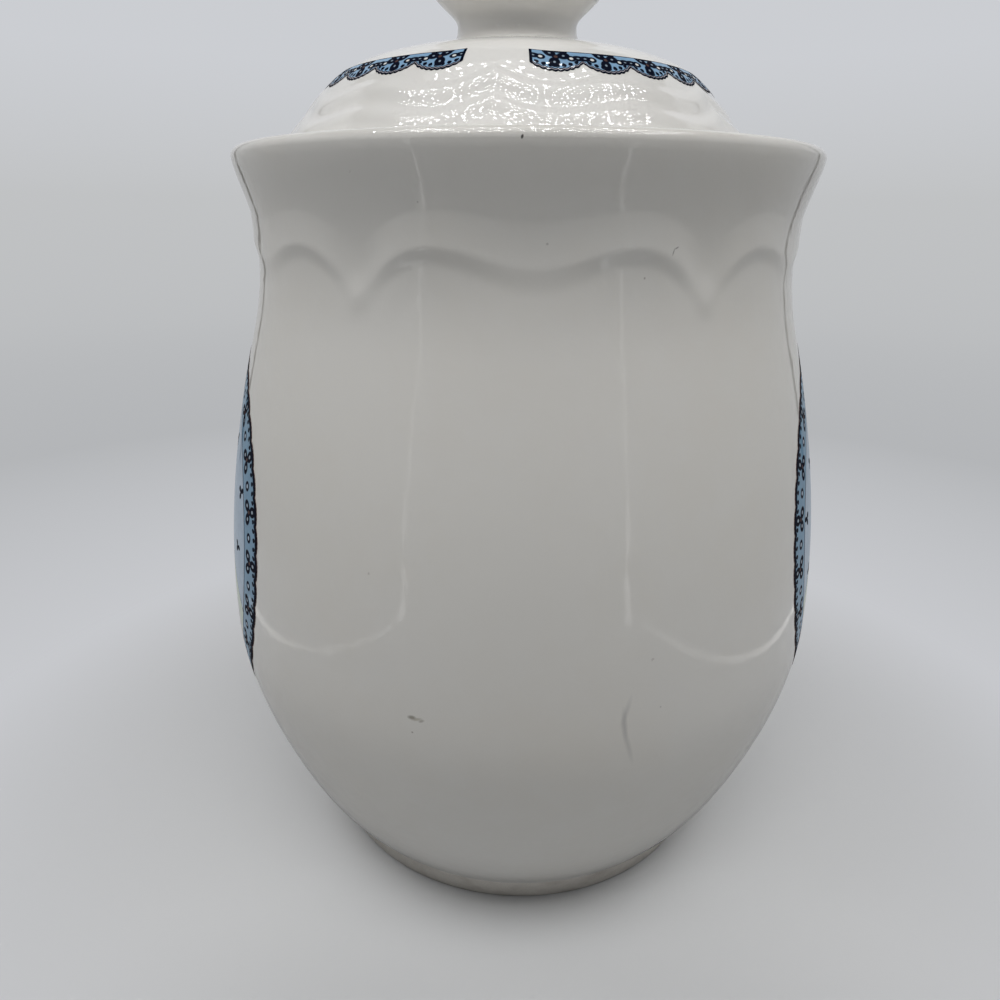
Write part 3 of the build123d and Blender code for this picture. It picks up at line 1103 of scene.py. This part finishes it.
def lidMaterial():
    made, tree, shader = newFinish("lidGlaze")
    place = objectPlace(tree)
    skin = glazeInto(tree, place, lidFinish)
    clay = useGroup(tree, bareClay, place=place)
    z = addNode(tree, "SeparateXYZ", place).outputs[2]
    bare = inside(tree, z, *lidFinish["bareBelow"])
    glazeOrClay(tree, shader, bare, skin, skin["colour"], clay["colour"])
    bumpOf(tree, shader, skin["height"])
    return made


printInk = {
    # the jar's print blue is darker than the lid's of the same ink: painted shade for the jar's
    # shaded sides
    "blue": (0.18, 0.345, 0.51),
    "lidBlue": (0.27, 0.45, 0.66),
    "paleBlue": (0.45, 0.57, 0.71),
    "ink": (0.006, 0.008, 0.018),
    "thread": (0.13, 0.07, 0.06),
    "frill": (0.44, 0.42, 0.47),
    "white": (0.80, 0.80, 0.78),
    "leaf": (0.20, 0.42, 0.22),
    "stem": (0.16, 0.33, 0.16),
    "petal": (0.86, 0.87, 0.86),
    "gold": (0.82, 0.55, 0.10),
    "flower": (0.16, 0.30, 0.66),
    "meadow": (0.66, 0.76, 0.62),
}

printLook = {
    "roughness": 0.35,
    "slit": 0.7,            # how much of the dark ink the slits and threads cover
    "thread": 0.8,
    "coatTone": (0.02, 0.16),
    "coat": (0.05, 0.55),   # weight at the two tones
    "coatRoughness": 0.06,
    "grain": 0.8,
    "grainHeight": 0.03,
    # of the pictures' border, in from the edge: dark outline and the reddish thread on it
    "outline": 1.9,
    "outThread": 0.22,
    "ring": (11.5, 12.1),   # the dark ring between border and scene
    "sprigs": 8,            # in each row
    "sprigSize": 1.8,
    "sprigRows": [(27.3, 15.2), (1.2, 20.9)],  # start along the edge, and depth
    "farOff": 60.0,         # a shape that lies so far off doesn't show
    # the hill: height of its top, fall for each millimetre squared, wobble and its scale
    "hill": (8.0, 0.01, 1.5, 0.05),
    "hillLine": 0.5,
    "meadowFade": (16.0, -10.0, 2.0),  # cloudiness, and the heights between which it fades
    # of the band on the lid: frill's depth and half width, top line, its thicker bars
    "lidOutline": 1.0,
    "lidFrill": (0.62, 0.1),
    "topLine": 0.55,
    "topBar": (3.3, 0.6),   # half length, and what it adds
    "endLine": 0.75,
}

lidCellShape = {
    "trefoilIn": 2.9, "trefoilSize": 2.1, "lean": -0.25, "eyeletSide": 3.95, "eyeletIn": 3.25,
    "eyeletSize": 1.1, "loopSide": 5.8, "loopIn": 3.0, "loopSize": 1.05, "dotIn": 1.7,
    "dotSize": 0.6, "core": 0.2,
}


def washed(tree, place, colour, deeper, scale=0.35, dark=0.62):
    # Transfer print: the ink lies a little thicker and thinner.
    share = ranged(tree, noise(tree, place, scale, 3.0, 0.6), 0.35, 0.7, 0.0, deeper)
    return laid(tree, share, colour, tuple(part * dark for part in colour))


def inked(tree, below, distance, limit=0.0, ink="ink"):
    # An ink over what is below it, where the distance is under the limit.
    return laid(tree, inside(tree, distance, limit), below, printInk[ink])


def laceColours(tree, cell, ground, slits, eyes):
    # Dark loops with a blue core, a brown thread in the middle, and pale eyelets.
    ground = laid(tree, cell["ink"], ground, printInk["ink"])
    ground = laid(tree, times(tree, cell["slit"], printLook["slit"]), ground, slits)
    ground = laid(tree, cell["hole"], ground, eyes)
    thread = times(tree, cell["thread"], printLook["thread"])
    return laid(tree, thread, ground, printInk["thread"])


def printInto(tree, shader, place, colour):
    # Flux glosses the pale print; the thick dark ink stays duller.
    tree.links.new(colour, shader.inputs["Base Color"])
    tone = addNode(tree, "RGBToBW", colour).outputs[0]
    shine = ranged(tree, tone, *printLook["coatTone"], *printLook["coat"])
    tree.links.new(shine, shader.inputs["Coat Weight"])
    shader.inputs["Coat Roughness"].default_value = printLook["coatRoughness"]
    shader.inputs["Specular IOR Level"].default_value = 0.0
    bumpOf(tree, shader, noise(tree, place, printLook["grain"]), printLook["grainHeight"] * mm)


def hillScene(tree, place, face, sky):
    # A hill of pale meadow that fades to white, with a dark outline.
    x, y, _ = addNode(tree, "SeparateXYZ", face).outputs
    top, fall, wobble, scale = printLook["hill"]
    wave = noise(tree, face, scale)
    line = minus(tree, top, times(tree, calc(tree, "POWER", x, 2.0), fall))
    above = minus(tree, y, plus(tree, line, times(tree, wave, wobble)))
    scene = inked(tree, sky, above)
    meadow = washed(tree, place, printInk["meadow"], 0.15)
    cloudy, low, high = printLook["meadowFade"]
    fade = ranged(tree, plus(tree, above, times(tree, wave, cloudy)), low, high, 1.0, 0.0)
    return laid(tree, inside(tree, above, -printLook["hillLine"]), scene,
                laid(tree, fade, meadow, printInk["white"]))


def flowerScene(tree, face, scene):
    # The bouquet over the scene: field, ink, width of the outline and depth of the wash.
    for title, colour, line, deeper in (
            ("stem", "stem", 0.0, 0.45), ("leaf", "leaf", 0.3, 0.8), ("blue", "flower", 0.3, 0.45),
            ("white", "petal", 0.3, 0.45), ("gold", "gold", 0.25, 0.45)):
        shape = field(tree, title)
        tint = washed(tree, face, printInk[colour], deeper, 0.8)
        scene = laid(tree, inside(tree, shape), inked(tree, scene, shape, line), tint)
    return scene


def pictureMaterial():
    made, tree, shader = newFinish("pictureInk", printLook["roughness"])
    place, lace, face = objectPlace(tree), uvPlace(tree, "lace"), uvPlace(tree, "face")
    edge = field(tree, "edge")
    depth = addNode(tree, "SeparateXYZ", lace).outputs[1]
    # the border's blue carries painted shade
    ground = washed(tree, place, printInk["blue"], 0.35)
    pale = washed(tree, place, printInk["paleBlue"], 0.2)
    girth = 2 * np.pi * picture["radius"]
    pitch = girth / picture["cells"]
    cell = useGroup(tree, laceCell, lace=lace, edge=edge, pitch=pitch, eyeletSide=pitch / 2,
                    dotPitch=pitch / 6)
    border = laceColours(tree, cell, ground, pale, pale)
    border = inked(tree, border, edge, printLook["outline"])
    border = inked(tree, border, edge, printLook["outThread"], "thread")
    # inside the border: pale sky with two rows of sprigs, the hill and the bouquet
    scene, farOff = pale, printLook["farOff"]
    for start, sprigIn in printLook["sprigRows"]:
        shifted = vector(tree, "SUBTRACT", lace, (start, 0, 0))
        sprig = useGroup(tree, laceCell, lace=shifted, edge=farOff, eyeletSide=farOff,
                         pitch=girth / printLook["sprigs"], trefoilIn=sprigIn,
                         trefoilSize=printLook["sprigSize"])
        scene = laid(tree, sprig["ink"], scene, printInk["ink"])
    scene = flowerScene(tree, face, hillScene(tree, place, face, scene))
    outer, inner = printLook["ring"]
    colour = inked(tree, border, minus(tree, outer, depth))
    colour = laid(tree, inside(tree, minus(tree, inner, depth)), colour, scene)
    printInto(tree, shader, place, colour)
    return made


def lidLaceMaterial():
    made, tree, shader = newFinish("lidLaceInk", printLook["roughness"])
    place, lace = objectPlace(tree), uvPlace(tree, "lace")
    edge, end = field(tree, "edge"), field(tree, "end")
    ground = washed(tree, place, printInk["lidBlue"], 0.3)
    pale = washed(tree, place, printInk["paleBlue"], 0.2)
    shifted = vector(tree, "SUBTRACT", lace, (lidPitch / 2, 0, 0))
    cell = useGroup(tree, laceCell, lace=shifted, edge=edge, pitch=lidPitch,
                    dotPitch=lidPitch / 8, **lidCellShape)
    colour = laceColours(tree, cell, ground, pale, printInk["white"])
    colour = inked(tree, colour, edge, printLook["lidOutline"])
    frillIn, frillHalf = printLook["lidFrill"]
    fromFrill = calc(tree, "ABSOLUTE", minus(tree, edge, frillIn))
    colour = inked(tree, colour, fromFrill, frillHalf, "frill")
    # top line with a thicker bar over each trefoil, and a line that closes each end
    run, down, _ = addNode(tree, "SeparateXYZ", shifted).outputs
    barHalf, thicker = printLook["topBar"]
    bar = inside(tree, calc(tree, "ABSOLUTE", folded(tree, run, lidPitch / 2)), barHalf)
    thick = plus(tree, printLook["topLine"], times(tree, bar, thicker))
    colour = inked(tree, colour, minus(tree, down, thick))
    colour = inked(tree, colour, end, printLook["endLine"])
    printInto(tree, shader, place, colour)
    return made


def paperMaterial():
    # The cove is lit like paper near the jar and shows a pale backdrop farther out, a glow of
    # painted light and shade that also lightens the jar's shadow near it.
    made, tree, shader = newFinish("paper", studio["roughness"])
    place, tone = objectPlace(tree), studio["tone"]
    path = tree.nodes.new("ShaderNodeLightPath").outputs
    seen = calc(tree, "MAXIMUM", path["Is Camera Ray"], path["Is Glossy Ray"])
    tint = laid(tree, noise(tree, place, studio["mottleScale"], 3.0), tone,
                tuple(part * studio["mottle"] for part in tone))
    dull = tuple(part * studio["bounce"] for part in tone)
    # painted shadow: the floor seen in front is darker
    paintedShadow = ranged(tree, spot(tree, place, *studio["paintedShadowSpot"]), *studio["paintedShadowFrom"], *studio["paintedShadow"],
                 interpolation_type="SMOOTHSTEP")
    tint = laid(tree, paintedShadow, tint, (0.0, 0.0, 0.0))
    tree.links.new(laid(tree, path["Is Camera Ray"], dull, tint), shader.inputs["Base Color"])
    shader.inputs["Specular IOR Level"].default_value = studio["shine"]
    away = vector(tree, "LENGTH", place)
    far = ranged(tree, away, *studio["paperTo"], 0.0, 1.0, interpolation_type="SMOOTHSTEP")
    ramp = addNode(tree, "ValToRGB", calc(tree, "DIVIDE", away, studio["farthest"]))
    stops = ramp.color_ramp.elements
    for number, (distance, colour) in enumerate(studio["backdrop"]):
        stop = stops[number] if number < 2 else stops.new(1.0)
        stop.position, stop.color = distance / studio["farthest"], (*colour, 1)
    # painted light: the glow lightens the floor near the jar, and its darker tones are painted shade
    paintedGlow = addNode(tree, "Emission", ramp.outputs[0], 1.0)
    mixed = addNode(tree, "MixShader", times(tree, seen, far), shader.outputs[0], paintedGlow.outputs[0])
    tree.links.new(mixed.outputs[0], tree.nodes["Material Output"].inputs[0])
    return made


potGlaze, lidGlaze = potMaterial(), lidMaterial()
pictureInk, lidLaceInk = pictureMaterial(), lidLaceMaterial()
for pieces, finish in (([jarGlazed], potGlaze), ([lidGlazed, knobGlazed], lidGlaze),
                       (pictures, pictureInk), (laces, lidLaceInk), ([cove], paperMaterial())):
    for piece in pieces:
        piece.data.materials.append(finish)
print("finishes made")
